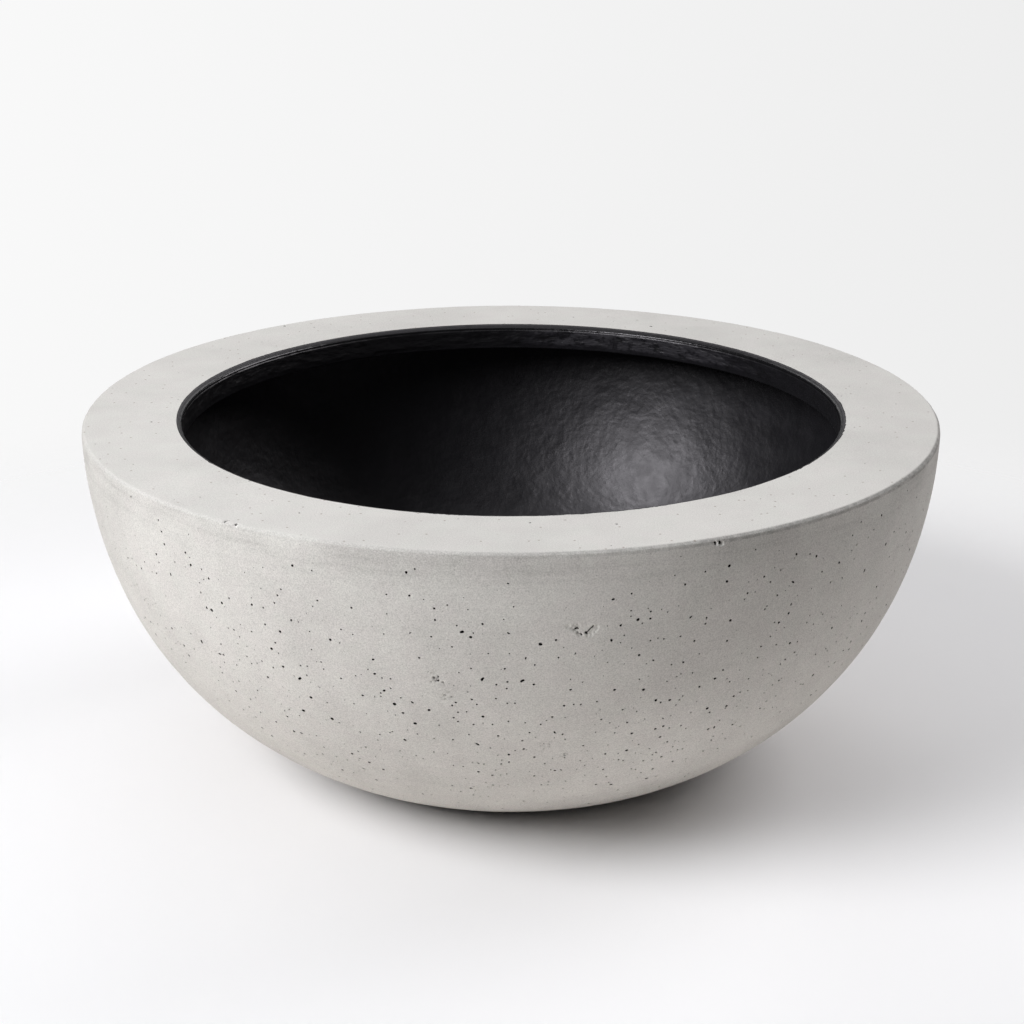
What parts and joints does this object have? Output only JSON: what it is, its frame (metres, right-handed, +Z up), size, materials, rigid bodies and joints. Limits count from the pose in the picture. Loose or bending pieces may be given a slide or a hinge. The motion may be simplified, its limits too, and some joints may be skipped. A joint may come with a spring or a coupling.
{
  "type": "bowl planter",
  "caption": "Low round planter bowl of cast concrete with a wide turned-in flat rim, a black waterproof lining, a plugged drain and pads under its base.",
  "frame": {"origin": "on the bowl's axis, at the floor that the four pads stand on", "axes": "+Z up along the bowl's axis, +X to the right and +Y away from the viewer of the picture"},
  "size_m": [0.6, 0.5998, 0.25],
  "materials": {
    "concrete": "matt cast concrete, pale warm grey, small open pores",
    "lining": "black brushed-on coat, low sheen, slightly lumpy",
    "sleeve": "dark grey moulded plastic",
    "plug": "black moulded rubber, matt",
    "pad": "dark grey cellular rubber, matt"
  },
  "bodies": {
    "bowl": {"concrete_bowl": "concrete", "waterproof_lining": "lining", "drain_sleeve": "sleeve", "foot_pad_1": "pad", "foot_pad_2": "pad", "foot_pad_3": "pad", "foot_pad_4": "pad"},
    "plug": {"drain_plug": "plug"}
  },
  "joints": [
    {"name": "drain_plug_lift", "type": "slide", "parent": "bowl", "child": "plug", "axis": [0, 0, 1], "range_m": [0, 0.26]}
  ]
}
